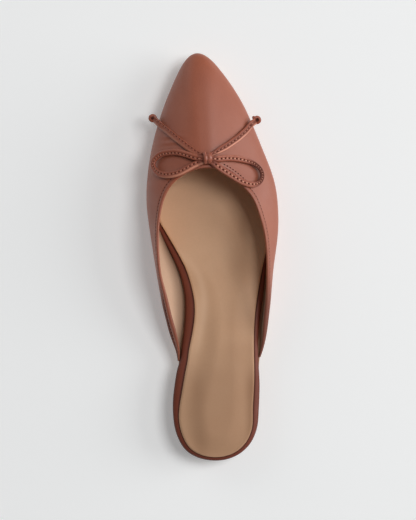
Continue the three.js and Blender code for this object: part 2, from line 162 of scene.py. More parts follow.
LOOP_MEDIAL = [
    (-0.2, 190.8, 40.2), (-3.2, 191.3, 39.7), (-6.8, 192.6, 38.5), (-10.3, 194, 36.8),
    (-15.1, 195.4, 34.4), (-20, 195.6, 31.6), (-23.8, 195.2, 29.5), (-27, 194, 27.6),
    (-29.5, 191.6, 26.4), (-30.6, 188.8, 26.5), (-29.9, 185.8, 27.8), (-27.6, 183, 30.5),
    (-24, 181.5, 33.3), (-20, 181.2, 35.8), (-14.9, 182.1, 37.8), (-9.9, 184.2, 38.9),
    (-5.4, 186.4, 39.3), (-0.4, 188.4, 39.4),
]
LOOP_LATERAL = [
    (7.3, 190.2, 40), (11, 189.9, 39), (15, 190.2, 37.2), (19.9, 190, 34.6), (24.7, 189.2, 32),
    (29.8, 187.7, 29.2), (33.9, 185.4, 27.3), (36.6, 182.4, 26.3), (37.6, 179.2, 26.5),
    (37, 176.2, 27.8), (35.1, 174, 29.7), (32, 173, 32.2), (27.7, 173.7, 34.7),
    (24.1, 175.3, 36.2), (19.5, 178.3, 37.4), (14.5, 181.8, 38.5), (10.5, 184.8, 39.1),
    (7.2, 187.5, 39.4),
]

# Middles of the bow's knot and of the knots at the tails' ends.
BOW_KNOT = (3.7, 191.2, 40.2)
TAIL_KNOT_MEDIAL = (-29.6, 218.3, 15.9)
TAIL_KNOT_LATERAL = (36.2, 214.1, 17)


# ---- curves ----
def spline(knots, values):
    """A natural cubic spline through rows of values at the knots, as a function of places."""
    knots = np.asarray(knots, float)
    values = np.asarray(values, float).reshape(len(knots), -1)
    gap = np.diff(knots)
    rise = np.diff(values, axis=0) / gap[:, None]
    matrix = np.eye(len(knots))
    right = np.zeros_like(values)
    for i in range(1, len(knots) - 1):
        matrix[i, i - 1 : i + 2] = gap[i - 1], 2 * (gap[i - 1] + gap[i]), gap[i]
        right[i] = 6 * (rise[i] - rise[i - 1])
    bend = np.linalg.solve(matrix, right)

    def at(places):
        places = np.asarray(places, float)
        i = np.clip(np.searchsorted(knots, places, side="right") - 1, 0, len(gap) - 1)
        step = gap[i][:, None]
        low = (knots[i + 1] - places)[:, None] / step
        high = 1 - low
        curved = (low**3 - low) * bend[i] + (high**3 - high) * bend[i + 1]
        return low * values[i] + high * values[i + 1] + curved * step**2 / 6

    return at


def knots_of(points):
    """Places of points along the curve through them."""
    chord = np.linalg.norm(np.diff(np.asarray(points, float), axis=0), axis=1)
    return np.concatenate([[0], np.cumsum(np.sqrt(chord))])


def lengths(points):
    """Distance along a line of points, at each of them."""
    step = np.linalg.norm(np.diff(points, axis=-2), axis=-1)
    start = np.zeros(step.shape[:-1] + (1,))
    return np.concatenate([start, np.cumsum(step, axis=-1)], axis=-1)


def resample(points, places, along=None):
    """Points, or other rows beside them, at these distances along the line."""
    along = lengths(points) if along is None else along
    return np.stack([np.interp(places, along, column) for column in points.T], axis=1)


def smooth_line(rows, step):
    """A smooth line through rows of points, with points about this far apart."""
    knots = knots_of([row[:3] for row in rows])
    dense = spline(knots, rows)(np.linspace(0, knots[-1], 40 * len(rows)))
    along = lengths(dense[:, :3])
    count = max(2, round(along[-1] / step) + 1)
    return resample(dense, np.linspace(0, along[-1], count), along)


def plan_line(route, step):
    """A smooth line in plan through rows of x and y."""
    return smooth_line([(x, y, 0) for x, y in route], step)[:, :2]


def profile(rows):
    """A smooth height over y through rows of y and height, with no overshoot."""
    at, value = np.array(rows, float).T
    rise = np.diff(value) / np.diff(at)
    slope = np.zeros(len(at))
    product = rise[:-1] * rise[1:]
    steady = product > 0
    slope[1:-1][steady] = 2 * product[steady] / (rise[:-1] + rise[1:])[steady]

    def height(y):
        y = np.clip(y, at[0], at[-1])
        i = np.clip(np.searchsorted(at, y, side="right") - 1, 0, len(rise) - 1)
        span = at[i + 1] - at[i]
        t = (y - at[i]) / span
        bend = t * (1 - t) * span * (slope[i] * (1 - t) - slope[i + 1] * t)
        return value[i] + (value[i + 1] - value[i]) * t * t * (3 - 2 * t) + bend

    return height


underside = profile(UNDERSIDE)
footbed_thickness = profile(FOOTBED_THICKNESS)


def sole_top(y):
    return underside(y) + SOLE


def footbed_top(y):
    return sole_top(y) + SEAT + footbed_thickness(y)


def unit(vectors):
    """The vectors' directions, each of length 1."""
    return vectors / np.maximum(np.linalg.norm(vectors, axis=-1, keepdims=True), 1e-9)


def ease(share):
    """A soft step: 0 up to a share of 0, and 1 from a share of 1."""
    share = np.clip(share, 0, 1)
    return share * share * (3 - 2 * share)


# ---- meshes ----
def place(points):
    """Points in the shoe's frame, in the row frame."""
    return ORIGIN + MM * np.asarray(points, float)


def piece(name, slot, material, points, faces, sharp=45, dark=None, painted_highlight=None):
    """
    A piece of the shoe, from points in the shoe's frame. Edges over the sharp angle stay
    sharp. The two optional shares per point are for the leather's dark colour, mostly painted
    shade, and for its lighter colour of painted highlights.
    """
    data = bpy.data.meshes.new(name)
    data.from_pydata(place(points).tolist(), [], [[int(i) for i in f] for f in faces])
    for label, shares in (("dark", dark), ("painted_highlight", painted_highlight)):
        if shares is not None:
            data.attributes.new(label, "FLOAT", "POINT").data.foreach_set("value", np.ravel(shares))
    shape = bmesh.new()
    shape.from_mesh(data)
    bmesh.ops.remove_doubles(shape, verts=shape.verts, dist=0.002 * MM)
    bmesh.ops.recalc_face_normals(shape, faces=shape.faces)
    shape.to_mesh(data)
    shape.free()
    data.shade_smooth()
    data.set_sharp_from_angle(angle=math.radians(sharp))
    data.materials.append(material)
    obj = bpy.data.objects.new(name, data)
    bpy.context.scene.collection.objects.link(obj)
    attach(obj, "root")
    return obj


def ladder(columns, rows, around=False):
    """Quads of a grid of points, column after column. Around joins the last row to the first."""
    faces = []
    for i in range(columns - 1):
        here = i * rows
        beside = here + rows
        for j in range(rows if around else rows - 1):
            after = (j + 1) % rows
            faces.append((here + j, beside + j, beside + after, here + after))
    return faces


def sweep(sections, closed=False):
    """Points and faces of a skin over closed sections, with its two ends capped."""
    count, rows = sections.shape[:2]
    faces = ladder(count, rows, around=True)
    if closed:
        last = (count - 1) * rows
        faces += [(last + j, j, (j + 1) % rows, last + (j + 1) % rows) for j in range(rows)]
    else:
        faces += [tuple(range(rows)), tuple((count - 1) * rows + j for j in range(rows))]
    return sections.reshape(-1, 3), faces


def beads(centres, along, outward, size):
    """Points and faces of small rounded beads. Size is their length, width and height."""
    rings = 7
    sides = 8
    turn = np.linspace(0, math.pi, rings)
    spin = np.arange(sides) * 2 * math.pi / sides
    ends = np.sign(np.cos(turn)) * np.abs(np.cos(turn)) ** 0.7
    form = np.stack([
        np.repeat(ends, sides),
        np.outer(np.sin(turn) ** 0.7, np.cos(spin)).ravel(),
        np.outer(np.sin(turn) ** 0.7, np.sin(spin)).ravel(),
    ], axis=1)
    across = unit(np.cross(outward, along))
    axes = np.stack([unit(along), across, outward], axis=1)
    points = centres[:, None] + (form * np.reshape(size, (-1, 1, 3)) / 2) @ axes
    one = ladder(rings, sides, around=True)
    faces = [tuple(i + k * len(form) for i in f) for k in range(len(centres)) for f in one]
    return points.reshape(-1, 3), faces


# ---- materials ----
def colour(red, green, blue):
    """A colour for Blender from 8-bit values as a screen shows them."""
    def linear(value):
        value /= 255
        return value / 12.92 if value <= 0.04045 else ((value + 0.055) / 1.055) ** 2.4
    return (linear(red), linear(green), linear(blue), 1)


def shader(name, **values):
    """A new material and its surface, with values set on the surface's own sockets."""
    material = bpy.data.materials.new(name)
    material.use_nodes = True
    surface = material.node_tree.nodes["Principled BSDF"]
    for socket, value in values.items():
        surface.inputs[socket.replace("_", " ")].default_value = value
    return material, surface


def node(tree, kind, **values):
    """A new node. A value goes to its input of that name, or else to its property."""
    made = tree.nodes.new("ShaderNode" + kind)
    for name, value in values.items():
        socket = made.inputs.get(name.replace("_", " "))
        if socket is None:
            setattr(made, name, value)
        else:
            socket.default_value = value
    return made


def noise(tree, where, size, detail=2, roughness=0.5):
    """Noise whose features are this many millimetres across."""
    made = node(tree, "TexNoise", Scale=1 / (size * MM), Detail=detail, Roughness=roughness)
    tree.links.new(where, made.inputs["Vector"])
    return made.outputs["Fac"]


def between(tree, value, low, high, start=0.3, end=0.7):
    """Value from start to end, turned into a number from low to high."""
    made = node(tree, "MapRange", From_Min=start, From_Max=end, To_Min=low, To_Max=high)
    tree.links.new(value, made.inputs["Value"])
    return made.outputs["Result"]


def mix(tree, share, one, other):
    """Two colours, or colour outputs, mixed by a share."""
    made = node(tree, "Mix", data_type="RGBA")
    for socket, value in ((0, share), (6, one), (7, other)):
        if isinstance(value, bpy.types.NodeSocket):
            tree.links.new(value, made.inputs[socket])
        else:
            made.inputs[socket].default_value = value
    return made.outputs[2]


# The leathers' dark parts are mostly painted shade, made matt.
MATT = 0.85  # roughness of the leathers' dark parts


def leather(name, base, tone, dark, grain, depth, gloss, painted_highlight=None, **values):
    """
    Leather with a base colour that drifts towards tone. Where a mesh has a dark attribute, mostly
    painted shade, it takes the dark colour and is matt, and where it has the attribute of painted
    highlights it takes that lighter colour. Grain and depth are the size and relief of its pebbles
    in mm, and gloss the lowest and highest roughness.
    """
    base, tone, dark = (colour(*rgb) for rgb in (base, tone, dark))
    material, surface = shader(name, **values)
    tree = material.node_tree
    where = node(tree, "TexCoord").outputs["Object"]
    drift = between(tree, noise(tree, where, 32), 0, 1)
    fine = between(tree, noise(tree, where, 1.4, detail=4), 0.25, 0.75)
    tinted = mix(tree, drift, base, tone)
    flecked = mix(tree, fine, tinted, mix(tree, 0.10, tinted, dark))
    # Painted highlights, in the lighter colour.
    if painted_highlight:
        rubbed = node(tree, "Attribute", attribute_name="painted_highlight").outputs["Fac"]
        flecked = mix(tree, rubbed, flecked, colour(*painted_highlight))
    # Painted shade, mostly: the dark colour, made matt, where the dark attribute asks.
    edge = node(tree, "Attribute", attribute_name="dark").outputs["Fac"]
    tree.links.new(mix(tree, edge, flecked, dark), surface.inputs["Base Color"])
    rough = between(tree, noise(tree, where, 6, detail=3), *gloss)
    matt = node(tree, "Mix", data_type="FLOAT")
    matt.inputs[3].default_value = MATT
    tree.links.new(edge, matt.inputs[0])
    tree.links.new(rough, matt.inputs[2])
    tree.links.new(matt.outputs[0], surface.inputs["Roughness"])
    pebbles = node(tree, "TexVoronoi", feature="SMOOTH_F1", Scale=1 / (grain * MM), Smoothness=0.6)
    tree.links.new(where, pebbles.inputs["Vector"])
    wrinkles = noise(tree, where, grain * 0.45, detail=3)
    relief = node(tree, "Math", operation="MULTIPLY_ADD")
    relief.inputs[1].default_value = 0.5
    tree.links.new(wrinkles, relief.inputs[0])
    tree.links.new(pebbles.outputs["Distance"], relief.inputs[2])
    bump = node(tree, "Bump", Strength=1, Distance=depth * MM)
    tree.links.new(relief.outputs[0], bump.inputs["Height"])
    tree.links.new(bump.outputs["Normal"], surface.inputs["Normal"])
    return material


# Each leather's dark colour flecks its grain and, where a mesh's dark attribute asks, paints shade.
NAPPA = leather(
    "nappa", (167, 89, 59), (160, 82, 53), (70, 30, 20),
    grain=0.8, depth=0.035, gloss=(0.44, 0.52), Specular_IOR_Level=0.85, Sheen_Weight=0.03,
    Sheen_Roughness=0.5, Sheen_Tint=(1, 0.86, 0.8, 1),
)
# Its lighter colour paints the highlight along the strips' folds.
STRIP_NAPPA = leather(
    "strip_nappa", (168, 92, 69), (160, 86, 63), (80, 32, 20),
    grain=0.6, depth=0.02, gloss=(0.36, 0.44), painted_highlight=(232, 160, 132),
    Specular_IOR_Level=0.45,
)
# A lighter, glossier copy of the strip leather: its lighter colour is a painted highlight on the
# knot.
LIT_KNOT_NAPPA = leather(
    "lit_knot_nappa", (184, 106, 82), (176, 98, 74), (84, 32, 20),
    grain=0.6, depth=0.02, gloss=(0.26, 0.34), Specular_IOR_Level=0.6,
)
WRAP_NAPPA = leather(
    "wrap_nappa", (126, 64, 46), (120, 59, 42), (50, 18, 11),
    grain=0.75, depth=0.02, gloss=(0.45, 0.55), Specular_IOR_Level=0.3,
)
TAN = leather(
    "tan_lining", (219, 182, 153), (212, 174, 144), (104, 70, 48),
    grain=0.5, depth=0.012, gloss=(0.6, 0.7),
)
# Its dark colour paints shade on the sock, and its lighter one a highlight along the pad's crest.
SOCK_TAN = leather(
    "sock_tan", (222, 178, 141), (215, 169, 132), (146, 104, 74),
    grain=0.5, depth=0.012, gloss=(0.5, 0.6), painted_highlight=(240, 202, 168),
)
SOLE_LEATHER = leather(
    "sole_leather", (184, 138, 100), (174, 128, 92), (92, 52, 38),
    grain=1.2, depth=0.02, gloss=(0.42, 0.56),
)
HEEL_LEATHER = leather(
    "heel_leather", (118, 66, 48), (106, 58, 42), (56, 28, 22),
    grain=0.9, depth=0.02, gloss=(0.35, 0.45),
)
RUBBER = leather(
    "rubber", (62, 42, 35), (57, 38, 32), (30, 20, 17),
    grain=0.8, depth=0.03, gloss=(0.55, 0.68),
)
THREAD, _ = shader("thread", Base_Color=colour(156, 92, 72), Roughness=0.55)
# The strips' thread in two copies: a lighter one as lit, and a darker one with painted shade that
# most strands use.
LIT_STRIP_THREAD, _ = shader("lit_strip_thread", Base_Color=colour(206, 140, 112), Roughness=0.5)
PAINTED_SHADE_THREAD, _ = shader("painted_shade_thread", Base_Color=colour(184, 116, 92), Roughness=0.5)
# Dark beads between the stitches: painted shade in the needle holes.
HOLE_SHADE, _ = shader(
    "needle_hole_shade", Base_Color=colour(66, 24, 15), Roughness=0.85, Specular_IOR_Level=0.1
)


# ---- camera, light and floor ----
CAMERA_OVER = (-4.356 * MM, -1.9 * MM)  # the point that the camera looks straight down on
CAMERA_HEIGHT = 1.7
CAMERA_ROLL = -2.633  # degrees; the toe leans to the picture's left
VIEW_LENGTH = 0.3281  # the picture's long side, at VIEW_LEVEL over the floor
VIEW_LEVEL = 0.02
SENSOR = 36  # width, in millimetres as Blender counts it
LIGHT_DISTANCE = 3
KEY_POWER = 38
SIDE_POWER = 48
FILL_POWER = 11
SKY = 0.13
FLOOR_GLOW = 0.205
FLOOR_REACH = 6  # the floor runs this far each way


def camera():
    """Straight above the shoe, as in the photo."""
    data = bpy.data.cameras.new("camera")
    data.sensor_width = SENSOR
    data.lens = SENSOR * (CAMERA_HEIGHT - VIEW_LEVEL) / VIEW_LENGTH
    cam = bpy.data.objects.new("camera", data)
    cam.location = (*CAMERA_OVER, CAMERA_HEIGHT)
    cam.rotation_euler = (0, 0, math.radians(CAMERA_ROLL))
    bpy.context.scene.collection.objects.link(cam)
    bpy.context.scene.camera = cam


def softbox(name, azimuth, elevation, size, power):
    """A square light that faces the shoe. Azimuth 0 is the shoe's lateral side, 90 its toe."""
    data = bpy.data.lights.new(name, "AREA")
    data.shape = "SQUARE"
    data.size = size
    data.energy = power
    light = bpy.data.objects.new(name, data)
    turn = math.radians(azimuth)
    rise = math.radians(elevation)
    light.location = (
        LIGHT_DISTANCE * math.cos(rise) * math.cos(turn),
        LIGHT_DISTANCE * math.cos(rise) * math.sin(turn),
        LIGHT_DISTANCE * math.sin(rise),
    )
    light.rotation_euler = (math.pi / 2 - rise, 0, turn + math.pi / 2)
    bpy.context.scene.collection.objects.link(light)


def studio():
    """Three lights, a plain sky and a plain pale floor."""
    softbox("key", azimuth=18, elevation=62, size=1.2, power=KEY_POWER)
    softbox("side", azimuth=5, elevation=20, size=2, power=SIDE_POWER)
    softbox("fill", azimuth=130, elevation=25, size=2, power=FILL_POWER)
    world = bpy.data.worlds.new("studio")
    world.use_nodes = True
    background = world.node_tree.nodes["Background"]
    background.inputs["Color"].default_value = (1, 1, 1, 1)
    background.inputs["Strength"].default_value = SKY
    bpy.context.scene.world = world
    bpy.context.scene.view_settings.view_transform = "Standard"
    floor_material, _ = shader(
        "floor", Base_Color=(0.87, 0.882, 0.884, 1), Roughness=0.9, Specular_IOR_Level=0,
        Emission_Color=(1, 1, 1, 1), Emission_Strength=FLOOR_GLOW,
    )
    data = bpy.data.meshes.new("floor")
    far = FLOOR_REACH
    level = -GROUND_CLEAR * MM
    corners = [(-far, -far, level), (far, -far, level), (far, far, level), (-far, far, level)]
    data.from_pydata(corners, [], [(0, 1, 2, 3)])
    data.materials.append(floor_material)
    floor = bpy.data.objects.new("floor", data)
    bpy.context.scene.collection.objects.link(floor)


# ---- bow ----
STRIP_STEP = 0.3  # between sections of a strand
TUCK = 1.6  # a strand runs on into its knot by this much
FOREFOOT_AXIS = 3.5  # x of the line that the vamp curves round under the bow
VAMP_CENTRE = -8  # and its height
CHANNEL = -0.15  # the stitches lie this far from the strip's middle, away from the fold

# Half of the strip's section, from its fold round the top to its other edge and back below.
STRIP_SECTION = [
    (2.05, 0), (1.84, 0.66), (1.25, 0.98), (0.6, 0.92), (0.15, 0.7), (CHANNEL, 0.58),
    (-0.45, 0.7), (-1.0, 0.78), (-1.58, 0.66), (-2.0, 0.3), (-2.02, -0.15), (-1.66, -0.58),
    (-1.0, -0.74), (0, -0.8), (1.0, -0.86), (1.66, -0.66),
]


def tucked(line):
    """The line, run on straight past both its ends."""
    reach = TUCK * np.array([[1], [0.5]])
    first = line[0] + unit(line[0] - line[1]) * reach
    last = line[-1] + unit(line[-1] - line[-2]) * reach[::-1]
    return np.concatenate([first, line, last])


def strand_axes(line):
    """Along, across and outward directions down a strand that lies on the vamp."""
    along = unit(np.gradient(line, axis=0))
    away = line - (FOREFOOT_AXIS, 0, VAMP_CENTRE)
    away[:, 1] = 0
    outward = unit(away - (away * along).sum(1, keepdims=True) * along)
    return along, np.cross(along, outward), outward


def strip(line, axes, fold, width=1, shift=0, tick=0.8, band=0.25, turns=None):
    """
    Sections of the strip along a line, their dark shares, and the share of its fold that gets a
    painted highlight. The dark shares paint shade under the strip and in its stitch holes, and
    darken its channel. Fold is its folded side. Shift moves the stitches towards the fold, tick
    and band darken their holes and channel, and turns counts the stitches along the line.
    """
    _, across, outward = axes
    section = np.array(STRIP_SECTION)
    closed = np.concatenate([section[-3:], section, section[:3]])
    fine = plan_line(closed, 0.25)
    angle = np.unwrap(np.arctan2(fine[:, 1], fine[:, 0]))
    once = (angle > angle[0] + 1.2) & (angle <= angle[0] + 1.2 + 2 * math.pi)
    ring = fine[once]
    half = abs(ring[:, 0]).max()
    turns = lengths(line) / BOW_PITCH if turns is None else turns
    wave = np.cos(2 * math.pi * turns)[:, None]
    near = np.exp(-(((ring[:, 0] - CHANNEL) / 0.7) ** 2)) * (ring[:, 1] > 0)
    broad = np.exp(-(((ring[:, 0] - CHANNEL) / 1.1) ** 4)) * (ring[:, 1] > 0)
    slid = ring[:, 0] + shift * (1 - (ring[:, 0] / half) ** 2)
    side = slid * fold * width + 0 * wave
    height = ring[:, 1] + 0.16 * wave * near
    sections = line[:, None] + across[:, None] * side[..., None]
    sections = sections + outward[:, None] * height[..., None]
    # Painted shade on the underside, where the strip lies on the vamp.
    below = 0.75 * ease((0.1 - ring[:, 1]) / 0.6)
    dark = np.maximum(tick * np.clip(-wave, 0, 1) * near, band * broad)
    # Painted highlight along the fold's crest.
    rubbed = np.exp(-(((ring[:, 0] - 1.5) / 0.5) ** 2)) * (ring[:, 1] > 0)
    return sections, np.maximum(dark, below), rubbed


def strand(name, rows, fold, far_end, look):
    """
    One strand of the bow, with its stitches. A loop can darken and narrow round its far end,
    where it rolls, and each strand has painted shade where it leaves the knot.
    """
    line = tucked(smooth_line(rows, STRIP_STEP))
    axes = strand_axes(line)
    along = lengths(line)
    share = along / along[-1]
    loop = far_end == "object"
    # far is 1 round a loop's far end, and narrow is less than 1 where a strand leaves the knot.
    far = np.exp(-(((share - 0.46) / 0.14) ** 4)) if loop else 0 * share
    pitch = look["pitch"] + (look["far_pitch"] - look["pitch"]) * far
    turns = np.concatenate([[0], np.cumsum(np.diff(along) / pitch[1:])])
    narrow = 0.8 + 0.2 * ease((along - 1) / 5) if loop else 0.68 + 0.32 * ease((along - 1) / 10)
    broad = (look["width"] + (look["far_width"] - look["width"]) * far) * narrow
    sections, dark, rubbed = strip(
        line, axes, fold, broad[:, None], look["shift"], look["tick"], look["band"], turns
    )
    dark = np.maximum(dark, look["far_dark"] * far[:, None])
    # Painted shade where the strand leaves the knot.
    from_knot = np.minimum(along, along[-1] - along if loop else along)
    dark = np.maximum(dark, 0.45 * (1 - ease((from_knot - 3.2) / 1.6))[:, None])
    # Painted highlight along the fold, less round a loop's far end.
    start, end = look["rub"]
    painted_highlight = np.outer((start + (end - start) * ease((share - 0.55) / 0.25)) * (1 - far), rubbed)
    made = piece(name, "bow", STRIP_NAPPA, *sweep(sections), dark=dark, painted_highlight=painted_highlight)
    # The holes are dark beads of painted shade between the stitches.
    for kind, material, start, height, size in (
        ("stitches", look["thread"], 0, 0.72, look["stitch"]),
        ("holes", HOLE_SHADE, 0.5, 0.5, look["hole"]),
    ):
        where = np.interp(np.arange(1 + start, turns[-1] - 1), turns, along)
        centre, run, side, out = (resample(each, where, along) for each in (line, *axes))
        offset = (CHANNEL + look["shift"]) * np.interp(where, along, broad)
        row = centre + side * (offset * fold)[:, None] + out * height
        small = np.array(look["far_small"]) * np.interp(where, along, far)[:, None]
        points, faces = beads(row, run, unit(out), np.array(size) * (1 - small))
        piece(f"{name}_{kind}", "bow", material, points, faces)
    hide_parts(name)


def end_knot(name, centre, start, turned, nub):
    """The knot at the end of a tail: the strip curled round itself, and its end coming out."""
    angle = np.radians(np.linspace(start, start + turned, 70))
    level = np.linspace(-0.7, 0.7, len(angle))
    curl = np.stack([1.7 * np.cos(angle), 1.7 * np.sin(angle), level], axis=1)
    line = smooth_line([*curl[::6], np.array(nub, float)], 0.25)
    share = np.linspace(0, 1, len(line))
    taper = np.clip(share / 0.06, 0.3, 1) * np.clip((1 - share) / 0.05, 0.3, 1)
    body = round_sections(line, loop_axes(line), np.sqrt(taper)[:, None], 0.9)
    points, faces = sweep(body)
    spin = np.linspace(0, 2 * math.pi, 24, endpoint=False)
    rings = [(0.2, -1.0), (1.2, -0.9), (1.6, -0.4), (1.6, -0.1), (1.1, 0.1), (0.2, 0.15)]
    core = np.array([
        [(r * math.cos(a), r * math.sin(a), z) for a in spin] for r, z in rings
    ])
    more, extra = sweep(core)
    faces += [tuple(i + len(points) for i in face) for face in extra]
    points = np.concatenate([points, more])
    # Painted shade in the middle of the curl and on its underside.
    inner = np.hypot(points[:, 0], points[:, 1])
    dark = np.maximum(ease((1.5 - inner) / 0.7), 0.6 * ease((-0.3 - points[:, 2]) / 0.6))
    made = piece(name, "bow", STRIP_NAPPA, points + np.array(centre), faces, dark=dark)
    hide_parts(name)
    return made


def loop_axes(line):
    """Across and outward directions down a strip that curls about an upright axis."""
    along = unit(np.gradient(line, axis=0))
    across = unit(np.cross(along, (0, 0, 1)))
    return across, np.cross(across, along)


def round_sections(line, axes, radius, flat):
    """Flattened round sections of a strip along a line."""
    spin = np.linspace(0, 2 * math.pi, 16, endpoint=False)
    across, outward = axes
    return (
        line[:, None]
        + across[:, None] * (radius * np.cos(spin))[..., None]
        + outward[:, None] * (radius * flat * np.sin(spin))[..., None]
    )


KNOT_HALF = (2.9, 1.95)  # the wrapped strip's path: half its length and half its height
CORE_HALF = 3.4  # the rounded core under it, across the shoe


def bow_knot():
    """The strip wrapped once round the strands, front to back, over a rounded core."""
    turn = np.linspace(0, 2 * math.pi, 90, endpoint=False)
    long, high = KNOT_HALF
    centre = np.array(BOW_KNOT) + (0, -0.5, 0)
    line = np.stack([0.35 * np.sin(turn), long * np.cos(turn), high * np.sin(turn)], axis=1)
    outward = unit(np.stack([0 * turn, np.cos(turn) / long, np.sin(turn) / high], axis=1))
    along = unit(np.roll(line, -1, 0) - np.roll(line, 1, 0))
    across = np.cross(along, outward)
    wrap, dark, _ = strip(line + centre, (along, across, outward), 1, 1.26, tick=0.3)
    aside = ((wrap - line[:, None] - centre) * across[:, None]).sum(2)
    uneven = (1 + 0.3 * np.sin(turn * 3))[:, None]
    # Creases pressed into the wrap, darkened with painted shade.
    for middle, depth in ((2.0, 0.15), (-1.9, 0.2), (0.5, 0.34)):
        crease = np.exp(-(((aside - middle) / 0.34) ** 2)) * uneven
        wrap = wrap - outward[:, None] * (depth * crease)[..., None]
        dark = np.maximum(dark, 1.8 * depth * crease)
    points, faces = sweep(wrap, closed=True)
    made = piece("bow_knot", "bow", LIT_KNOT_NAPPA, points, faces, dark=np.clip(dark, 0, 1))
    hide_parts("bow_knot")
    spin = np.linspace(0, math.pi, 18)
    core_line = centre + np.outer(-np.cos(spin) * CORE_HALF, (1, 0, 0))
    ring = np.sin(spin)[:, None, None] ** 0.6
    under_wrap = (0 * turn, (long - 0.3) * np.cos(turn), (high - 0.25) * np.sin(turn))
    points, faces = sweep(core_line[:, None] + ring * np.stack(under_wrap, axis=1))
    # The core is half dark all over: painted shade under the wrap.
    piece("bow_knot_core", "bow", STRIP_NAPPA, points, faces, dark=np.full(len(points), 0.5))


def strand_look(**values):
    """
    How a strand looks. Widths are shares of the strip's own, and pitches, stitches and holes
    are in mm. Shift, tick and band are strip()'s, and one pair gives how much painted highlight
    the fold gets near the strand's start and near its end. What starts with far_ holds round a
    loop's far end, where far_small is how much smaller the stitches are.
    """
    far = {"far_width": values["width"], "far_pitch": values["pitch"]}
    # Unless given, a strand's thread is the darker copy, with painted shade.
    plain = {"shift": 0, "thread": PAINTED_SHADE_THREAD, "far_dark": 0, "far_small": (0, 0, 0)}
    return {**plain, **far, **values}


TAIL_MEDIAL_LOOK = strand_look(
    width=0.97, shift=-1, tick=0.25, band=0.2, pitch=2.6, rub=(0.4, 0.25),
    stitch=(1.3, 0.4, 0.34), hole=(0.5, 0.35, 0.36),
)
TAIL_LATERAL_LOOK = strand_look(
    width=1.02, tick=0.5, band=0.6, pitch=2.9, rub=(0.95, 0.6),
    stitch=(1.3, 0.7, 0.4), hole=(0.5, 0.5, 0.3),
)
LOOP_MEDIAL_LOOK = strand_look(
    width=0.98, far_width=0.92, shift=-0.45, tick=0.6, band=0.15, far_dark=0.05,
    pitch=2.6, far_pitch=2.0, rub=(0.1, 0.8), stitch=(1.4, 0.95, 0.44),
    hole=(0.7, 1.2, 0.34), far_small=(0.3, -0.4, 0),
)
LOOP_LATERAL_LOOK = strand_look(
    width=0.95, far_width=0.72, tick=0.9, band=0.2, far_dark=0.85, pitch=2.7, far_pitch=1.7,
    rub=(0.15, 0.1), thread=LIT_STRIP_THREAD, stitch=(1.4, 1.1, 0.54), hole=(1.1, 1.3, 0.4),
    far_small=(0.55, 0.5, 0.2),
)


def bow():
    """Four strands, the knots on the tails' ends, and the knot in the middle."""
    knot = end_knot("tail_knot_medial", TAIL_KNOT_MEDIAL, -60, 400, (-2.2, 1.6, 0.8))
    strand("bow_tail_medial", TAIL_MEDIAL, -1, "knot", TAIL_MEDIAL_LOOK)
    knot = end_knot("tail_knot_lateral", TAIL_KNOT_LATERAL, -150, 290, (-2.9, 2.0, 0.6))
    strand("bow_tail_lateral", TAIL_LATERAL, 1, "knot", TAIL_LATERAL_LOOK)
    strand("bow_loop_medial", LOOP_MEDIAL, 1, "object", LOOP_MEDIAL_LOOK)
    strand("bow_loop_lateral", LOOP_LATERAL, -1, "object", LOOP_LATERAL_LOOK)
    bow_knot()


# ---- upper ----
COLUMNS = 400  # round the upper
UNDER_STEPS = 40  # points from the sole to the widest line
OVER_STEPS = 160  # points from there to the topline


def bezier(a, b, c, d, count):
    """Cubic curves of this many points, from rows of their ends and handles."""
    t = np.linspace(0, 1, count)[None, :, None]
    a, b, c, d = (p[:, None] for p in (a, b, c, d))
    return a * (1 - t) ** 3 + 3 * b * t * (1 - t) ** 2 + 3 * c * t**2 * (1 - t) + d * t**3


def ribs(count):
    """Feather, widest and topline points of the upper's ribs, and their lean."""
    table = np.array(RIBS, float)
    knots = knots_of((table[:, :3] + table[:, 4:7]) / 2)
    rows = spline(knots, table)(np.linspace(0, knots[-1], count))
    wide, tuck, top, lean = rows[:, :3].copy(), rows[:, 3:4], rows[:, 4:7].copy(), rows[:, 7:]
    run = np.gradient(wide, axis=0)
    run[:, 2] = 0
    run = unit(run)
    inward = np.stack([run[:, 1], -run[:, 0], run[:, 2]], axis=1)
    feather = wide + inward * tuck
    feather[:, 2] = 0
    for points in (feather, wide, top):
        points[:, 2] += sole_top(points[:, 1]) + SEAT
    return feather, wide, top, np.radians(lean)


